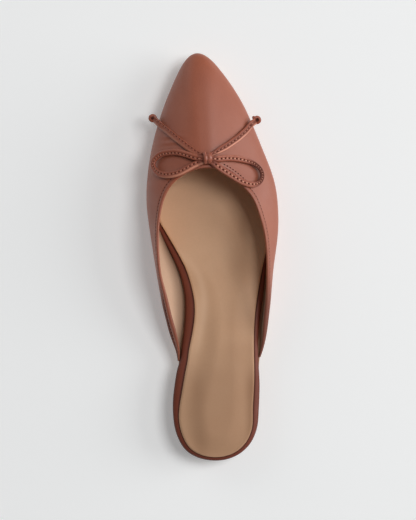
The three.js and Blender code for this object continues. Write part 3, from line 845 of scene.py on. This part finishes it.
class Skin:
    """The upper's outer surface, rib by rib from the topline down to the sole's edge."""

    def __init__(self):
        feather, wide, top, lean = ribs(COLUMNS)
        up = np.array([0, 0, 1.0])
        height = (wide - feather)[:, 2:]
        flare = (feather + wide) / 2 - 0.3 * height * up
        below = wide - 0.45 * height * up
        over = wide + 0.35 * (top - wide)[:, 2:] * up
        level = top - wide
        level[:, 2] = 0
        rise = unit(level) * np.cos(lean) + up * np.sin(lean)
        reach = 0.5 * np.linalg.norm(top - wide, axis=1, keepdims=True)
        crown = bezier(top, top - rise * reach, over, wide, OVER_STEPS)
        under = bezier(wide, below, flare, feather, UNDER_STEPS)
        self.line = np.concatenate([crown, under[:, 1:]], axis=1)
        down = np.gradient(self.line, axis=1)
        aside = np.gradient(self.line, axis=0)
        self.normal = unit(np.cross(aside, down))
        self.normal[:, -1, 2] = 0
        self.normal[:, -1] = unit(self.normal[:, -1])
        self.along = lengths(self.line)
        self.length = self.along[:, -1]
        column = np.arange(COLUMNS)
        from_end = np.minimum(column, column[::-1])
        self.pared = WALL_AT_WING / WALL + (1 - WALL_AT_WING / WALL) * ease(from_end / 36)
        self.rolled = 0.35 * ease(from_end / 10) * (1 - ease((from_end - 45) / 35))
        self.squeeze = np.minimum(1, self.length / 13)

    def at(self, distance, depth):
        """
        Points at these distances below the topline and depths under the outer surface. Both
        shrink together where the upper gets low, and depth also where its wall is pared. On
        the wings the topline is rolled thicker.
        """
        made = np.empty((COLUMNS, len(distance), 3))
        for i in range(COLUMNS):
            near = np.minimum(distance, NEAR_TOPLINE)
            far = (distance - near) / (FULL_DEPTH - NEAR_TOPLINE)
            start = NEAR_TOPLINE * self.squeeze[i]
            where = near * self.squeeze[i] + far * (self.length[i] - start)
            point = resample(self.line[i], where, self.along[i])
            normal = unit(resample(self.normal[i], where, self.along[i]))
            roll = 1 + self.rolled[i] * (1 - ease((distance - 2) / 5))
            made[i] = point - normal * (depth * roll * self.pared[i])[:, None]
        return made


NEAR_TOPLINE = 8  # distances below the topline up to this are true ones
FULL_DEPTH = 100  # and this one stands for the sole's edge
SEAM = 2.75  # the topline's stitch row, below it
TOPLINE_ROWS = np.array([  # rows of the mesh below the fold
    0.85, 1.1, 1.4, 1.7, 2, 2.2, 2.4, 2.6, 2.8, 3, 3.2, 3.5, 4, 5, 6.5,
])
FAR_ROWS = np.linspace(NEAR_TOPLINE, FULL_DEPTH, 24)  # and from there down, inside


def skin_relief(distance):
    """Depth of the outer surface near the topline: a soft bead, then a sewn trough."""
    bead = 0.16 * np.exp(-(((distance - 1.25) / 0.75) ** 2))
    trough = 0.2 * np.exp(-(((distance - SEAM) / 0.42) ** 2))
    return trough - bead


def upper_leather(skin):
    """The outer leather, with its folded topline and sewn trough."""
    outer_down = np.concatenate([TOPLINE_ROWS, np.linspace(NEAR_TOPLINE, FULL_DEPTH, 80)])
    down = np.concatenate([TOPLINE_ROWS, FAR_ROWS])
    half = EDGE / 2
    turn = np.linspace(0, math.pi, 9)
    rim = half - half * np.sin(turn), half - half * np.cos(turn)
    distance = np.concatenate([outer_down[::-1], rim[0], down])
    depth = np.concatenate([skin_relief(outer_down)[::-1], rim[1], inner_depth(down)])
    outer = creased(skin.at(distance, depth), len(outer_down))
    # Painted shade in the sewn trough and near the wings' edges.
    sewn = np.exp(-(((outer_down[::-1] - SEAM) / 0.4) ** 2))
    dark = np.zeros((COLUMNS, len(distance)))
    dark[:, : len(sewn)] = 0.45 * sewn
    dark = np.maximum(dark, wing_shade(outer[:, len(sewn)], distance, len(sewn)))
    made = piece("upper_leather", "upper", NAPPA, *sweep(outer), sharp=60, dark=dark)
    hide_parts("upper")


def wing_shade(topline, distance, outer_rows):
    """
    Painted shade near the edges of the wings: on both sides of the fold, and all over it on the
    lateral wing. The rows run up the outside, over the edge and down the inside.
    """
    wing = ease((122 - topline[:, 1:2]) / 30)
    row = np.arange(len(distance))
    outside = 0.6 * ease((distance - 1.2) / 2.2)
    inside = 0.6 * ease((row - outer_rows - 3) / 4)
    shade = np.where(row < outer_rows, outside, inside)
    shade = np.where(topline[:, :1] > 0, np.maximum(shade, 0.5), shade)
    return wing * shade * (1 - 0.8 * ease((distance - 3.5) / 6))


def upper_lining(skin):
    """The lining, from its edge under the folded topline, with painted shade low on the medial
    side.
    """
    hem = 1.3  # the lining's edge below the topline
    below_hem = np.array([0, 0.1, 0.3, 0.6, 1, 1.8, 3, 4.5])
    down = np.concatenate([hem + below_hem, FAR_ROWS])
    lining = skin.at(
        np.concatenate([down[::-1], down + 0.05]),
        np.concatenate([
            np.maximum(inner_depth(down), LEATHER)[::-1] + 0.05,
            EDGE + 0.12 * ease((down - hem) / 0.3) - 0.15 * ease((down - 4) / 4),
        ]),
    )
    x, y, z = lining.reshape(-1, 3).T
    # Painted shade low down, near the footbed, on the medial side.
    low = 0.8 * ease((6.5 - (z - sole_top(y))) / 6) * (x < 10)
    piece("upper_lining", "upper", TAN, *sweep(lining), sharp=60, dark=low)


def seam(name, skin, distance, sunk, pitch, margins, sizes, keep=None):
    """
    Stitches and needle holes at a distance below the topline, sunk into the leather. Margins
    are left free at the row's two ends, and keep picks the columns that it runs through.
    """
    line = skin.at(np.array([distance]), np.array([sunk]))[:, 0]
    lifted = skin.at(np.array([distance]), np.array([sunk - 1]))[:, 0]
    if keep:
        through = keep(line)
        line = line[through]
        lifted = lifted[through]
    along = lengths(line)
    start, end = margins
    # The holes are dark beads of painted shade between the stitches.
    for kind, material, shift in (("stitches", THREAD, 0), ("holes", HOLE_SHADE, 0.5)):
        where = np.arange(start + shift * pitch, along[-1] - end, pitch)
        centre = resample(line, where, along)
        run = resample(np.gradient(line, axis=0), where, along)
        out = unit(resample(lifted - line, where, along))
        made = beads(centre, unit(run), out, sizes[kind])
        piece(f"{name}_{kind}", "upper", material, *made)


def inside_lateral_loop(line):
    """Which columns of the upper lie within the bow's lateral loop."""
    return (line[:, 0] > 12) & (line[:, 0] < 31) & (line[:, 1] > 168)


def upper():
    """Leather and lining, the row along the topline, and a finer one in the lateral loop."""
    skin = Skin()
    upper_leather(skin)
    upper_lining(skin)
    sizes = {"stitches": (1.3, 0.42, 0.36), "holes": (0.75, 0.6, 0.34)}
    seam("topline", skin, SEAM, 0.12, TOPLINE_PITCH, (14, 14), sizes)
    sizes = {"stitches": (1.0, 0.4, 0.34), "holes": (1.1, 0.9, 0.4)}
    margins = (VAMP_ROW_PITCH / 2, 0)
    seam("vamp_row", skin, 4.5, 0.05, VAMP_ROW_PITCH, margins, sizes, inside_lateral_loop)


# Faint creases where the vamp flexes beside the bow: depth, width, then x y down each.
CREASES = [
    (0.26, 1.0, (-28, 204.5), (-21, 203.5), (-15, 204), (-8, 201.6)),
    (0.2, 0.9, (-26, 208.5), (-20, 207.5), (-15, 207)),
    (0.18, 0.9, (-30, 200.5), (-24, 199.8), (-18, 200), (-12, 198.8)),
]


def creased(points, outer_rows):
    """The upper's sections with its creases pressed into the outer surface."""
    made = points.copy()
    near = points[:, :outer_rows]
    drop = np.zeros(near.shape[:2])
    for depth, width, *route in CREASES:
        line = plan_line(route, 0.5)
        away = np.linalg.norm(near[:, :, None, :2] - line, axis=3)
        nearest = away.argmin(2)
        fade = np.sin(np.linspace(0.1, math.pi - 0.1, len(line)))[nearest]
        drop += depth * fade * np.exp(-((away.min(2) / width) ** 2))
        drop -= 0.5 * depth * fade * np.exp(-(((away.min(2) - 2.2 * width) / width) ** 2))
    made[:, :outer_rows] = near - drop[..., None] * np.array([0, 0, 1])
    return made


def inner_depth(distance):
    """Depth of the leather's inner surface, folded double at the topline."""
    return LEATHER + (EDGE - LEATHER) * (1 - ease((distance - 1) / 4))


# ---- sole ----
OUTLINE_STEPS = 150  # points along each side of an outline


class Outline:
    """
    A closed outline, from rows of x, y and rim that run from the toe down the lateral side,
    round the heel and up the medial side. Inset rings pair its two sides point by point.
    """

    def __init__(self, lateral, medial):
        rows = np.array([*lateral[::-1], *medial[1:]], float)
        back = len(lateral) - 1
        knots = knots_of(rows[:, :2])
        form = spline(knots, rows)
        self.lateral = self.side(form, knots[back], knots[0])
        self.medial = self.side(form, knots[back], knots[-1])

    def side(self, form, start, end):
        dense = form(np.linspace(start, end, 3000))
        along = lengths(dense[:, :2])
        share = np.linspace(0, 1, OUTLINE_STEPS)
        eased = 0.4 * share + 0.6 * (0.5 - 0.5 * np.cos(math.pi * share))
        rows = resample(dense, eased * along[-1], along)
        run = unit(np.gradient(rows[:, :2], axis=0))
        turned = 1 if end > start else -1
        inward = turned * np.stack([run[:, 1], -run[:, 0]], axis=1)
        inward[0] = (0, 1)
        inward[-1] = (0, -1)
        return rows[:, :2], inward, rows[:, 2:]

    def inset(self, share, distance):
        """Both sides, set in by a share of the rim and a distance."""
        sides = []
        for points, inward, rim in (self.medial, self.lateral):
            sides.append(points + inward * (rim * share + distance))
        return sides

    def ring(self, share, distance, lift):
        medial, lateral = self.inset(share, distance)
        flat = np.concatenate([medial, lateral[::-1]])
        return np.column_stack([flat, lift(flat[:, 1])])


def stack(rings):
    """Points and faces of rings on top of each other, closed below and above."""
    count = len(rings[0])
    faces = ladder(len(rings), count, around=True)
    top = (len(rings) - 1) * count
    for i in range(count // 2 - 1):
        a, b, c, d = i, i + 1, count - 2 - i, count - 1 - i
        faces += [(a, d, c, b), (top + a, top + b, top + c, top + d)]
    return np.concatenate(rings), faces


def rim_profile(count):
    """Inset share and height share up the footbed's wrapped edge."""
    corners = [(0, 0.35), (0, 0.8), (0.42, 1), (1, 1)]
    curve = bezier(*(np.array([corner]) for corner in corners), count)[0]
    return np.concatenate([[(0, 0.02), (0, 0.18)], curve])


def footbed():
    """The footbed in its leather wrap, with painted shade at the foot of its rim and where the sock
    ends.
    """
    outline = Outline(FOOTBED_LATERAL, FOOTBED_MEDIAL)
    rim = rim_profile(16)
    rings = [
        outline.ring(share, 0, lambda y, h=high: sole_top(y) + SEAT + h * footbed_thickness(y))
        for share, high in rim
    ]
    rings.append(outline.ring(1, 0.6, footbed_top))
    points, faces = stack(rings)
    # Painted shade on the rim's outer foot and on its inner edge, where the sock ends.
    shares = np.append(rim[:, 0], 1)
    shaded = np.maximum(0.85 * ease((shares - 0.7) / 0.3), 0.4 * (1 - ease(shares / 0.3)))
    rim_shade = np.repeat(shaded, len(rings[0]))
    made = piece("footbed_wrap", "upper", WRAP_NAPPA, points, faces, sharp=70, dark=rim_shade)
    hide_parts("footbed")
    return outline


def pad_height(points):
    """Height of the soft pad under the sock at points in plan."""
    edge = plan_line(PAD_EDGE, 1.5)
    start, end = edge, np.roll(edge, -1, 0)
    run = end - start
    off = points[:, None] - start
    t = np.clip((off * run).sum(2) / (run * run).sum(1), 0, 1)
    distance = np.linalg.norm(off - t[..., None] * run, axis=2).min(1)
    x, y = points.T[..., None]
    crosses = (start[:, 1] > y) != (end[:, 1] > y)
    slope = run[:, 0] / np.where(run[:, 1] == 0, 1e-9, run[:, 1])
    inside = (crosses & (x < start[:, 0] + slope * (y - start[:, 1]))).sum(1) % 2 == 1
    signed = np.where(inside, distance, -distance)
    fade = 1 - 0.5 * ease((points[:, 1] - 130) / 60)
    return PAD * ease(signed / 14) * fade


def sock_shade(points):
    """Painted shade on the sock lining: under the heel, beside the pad, at the waist, over the
    lateral forefoot and at the lateral edge.
    """
    x, y = points.T
    heel_seat = 0.44 * ease((84 - y) / 34)
    beside_pad = 0.16 * np.exp(-(((x + 9) / 5) ** 2)) * ease((64 - y) / 20)
    waist = 0.26 * np.exp(-(((x - 1) / 7) ** 2) - ((y - 80) / 17) ** 2)
    forefoot = 0.55 * ease((x - 8) / 16) * (1 - 0.55 * ease((x - 24) / 6))
    forefoot = forefoot * ease((y - 94) / 34) * (1 - ease((y - 142) / 26))
    heel_edge = 0.35 * ease((x - 18) / 8) * ease((64 - y) / 20)
    lateral_waist = 0.28 * ease((x - 4) / 12) * ease((y - 50) / 24) * ease((112 - y) / 24)
    shade = heel_seat + beside_pad + waist + lateral_waist + forefoot + heel_edge
    return np.clip(shade, 0, 0.8)


# The pad's crest along the inner side of the arch, with a painted highlight: x y.
CREST = [(-19, 134), (-12, 127), (-6, 119), (-3, 109), (-2.5, 97), (-4.5, 84), (-8, 70)]


def crest_share(points):
    """How much painted highlight each point of the sock lining gets along the pad's crest."""
    line = plan_line(CREST, 1)
    away = np.linalg.norm(points[:, None] - line, axis=2)
    fade = np.sin(np.linspace(0.15, math.pi - 0.15, len(line)))[away.argmin(1)]
    return 0.5 * fade * np.exp(-((away.min(1) / 2.6) ** 2))


def sock(outline):
    """The sock lining: a sheet with a skived edge, that rises over the pad."""
    across = 70
    skived = 0.35
    medial, lateral = outline.inset(1, 0.1)
    share = np.linspace(0, 1, across)
    share = 0.5 * share + 0.5 * (0.5 - 0.5 * np.cos(math.pi * share))
    flat = medial[:, None] + (lateral - medial)[:, None] * share[:, None]
    plan = flat.reshape(-1, 2)
    width = np.linalg.norm(lateral - medial, axis=1)
    edge = (np.minimum(share, 1 - share)[None] * width[:, None]).ravel()
    rise = skived + (SOCK - skived) * np.sqrt(np.clip(edge / 1.2, 0, 1))
    top = footbed_top(plan[:, 1]) + rise + pad_height(plan)
    upper_side = np.column_stack([plan, top]).reshape(len(width), across, 3)
    lower_side = upper_side[:, ::-1].copy()
    lower_side[..., 2] = footbed_top(lower_side[..., 1]) + 0.04
    sections = np.concatenate([upper_side, lower_side], axis=1)
    everywhere = sections[..., :2].reshape(-1, 2)
    # Painted shade, and a painted highlight along the pad's crest.
    shade = sock_shade(everywhere)
    crest = crest_share(everywhere)
    made = piece("sock_lining", "insock", SOCK_TAN, *sweep(sections), dark=shade, painted_highlight=crest)
    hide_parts("insock")


def sole_outline():
    """The sole's edge: the heel seat's own, then the feather line of the upper's ribs."""
    feather, _, _, _ = ribs(len(RIBS) * 6)
    tip = feather[:, 1].argmax()
    back = [x for x, _ in HEEL_EDGE].index(1)
    seat = [(x, y, 0) for x, y in HEEL_EDGE]
    edge = [(x, y, 0) for x, y, _ in feather]
    medial = seat[: back + 1][::-1] + edge[2:tip:6] + [edge[tip]]
    lateral = seat[back:] + edge[-3:tip:-6] + [edge[tip]]
    return Outline(lateral, medial)


def outsole(outline):
    """Leather sole, rounded below, with a stamped line inside the edge."""
    overhang = 0.5  # of the upper over the sole
    levels = [
        (5.2, 0), (4.4, 0), (4.1, 0.12), (3.8, 0.22), (3.5, 0.12), (3.2, 0), (1.6, 0),
        (1.0, 0.05), (0.5, 0.22), (0.2, 0.5), (0.05, 0.85), (0, 1.2), (0, SOLE - 0.2),
        (0.15, SOLE),
    ]
    rings = [
        outline.ring(0, overhang + inset, lambda y, h=high: underside(y) + h)
        for inset, high in levels
    ]
    made = piece("outsole_leather", "outsole", SOLE_LEATHER, *stack(rings), sharp=50)
    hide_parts("outsole")


def heel_stack(outline, levels):
    """Rings behind the heel's breast, at insets and heights. The front face is straight."""
    rings = []
    for inset, lift in levels:
        sides = []
        for points in outline.inset(0, inset):
            behind = points[points[:, 1] < HEEL_BREAST - 1]
            corner = resample(points, [np.interp(HEEL_BREAST, points[:, 1], lengths(points))])
            sides.append(np.concatenate([behind[:66], corner]))
        count = min(len(side) for side in sides)
        sides = [np.concatenate([s[: count - 1], s[-1:]]) for s in sides]
        flat = np.concatenate([sides[0], sides[1][::-1]])
        rings.append(np.column_stack([flat, lift(flat[:, 1])]))
    return rings


def block_height(y, share):
    """Height at a share of the way from the top piece up to the sole."""
    low = TOP_PIECE + SEAT
    return low + share * (underside(y) - SEAT - low)


HEEL_LIFTS = 3  # leather layers in the heel
LIFT_EDGE = [(1.45, 0.0), (1.3, 0.12), (1.25, 0.5), (1.3, 0.88), (1.45, 1.0)]  # inset, share
TOP_PIECE_EDGE = [  # inset, height
    (3.2, 0), (2.4, 0), (2.1, 0.15), (1.8, 0.6), (1.7, 1.2), (1.7, TOP_PIECE - 0.2),
    (1.9, TOP_PIECE),
]


def heel(outline):
    """Stacked leather lifts over a rubber top piece."""
    levels = [
        (inset, lambda y, s=(k + share) / HEEL_LIFTS: block_height(y, s))
        for k in range(HEEL_LIFTS)
        for inset, share in LIFT_EDGE
    ]
    points, faces = stack(heel_stack(outline, levels))
    made = piece("heel_block", "heel", HEEL_LEATHER, points, faces, sharp=30)
    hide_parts("heel")
    levels = [(inset, lambda y, h=high: h + 0 * y) for inset, high in TOP_PIECE_EDGE]
    points, faces = stack(heel_stack(outline, levels))
    made = piece("heel_top_piece", "heel_lift", RUBBER, points, faces, sharp=40)
    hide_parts("heel_lift")


camera()
bow()
studio()
upper()
bed = footbed()
sock(bed)
sole = sole_outline()
outsole(sole)
heel(sole)
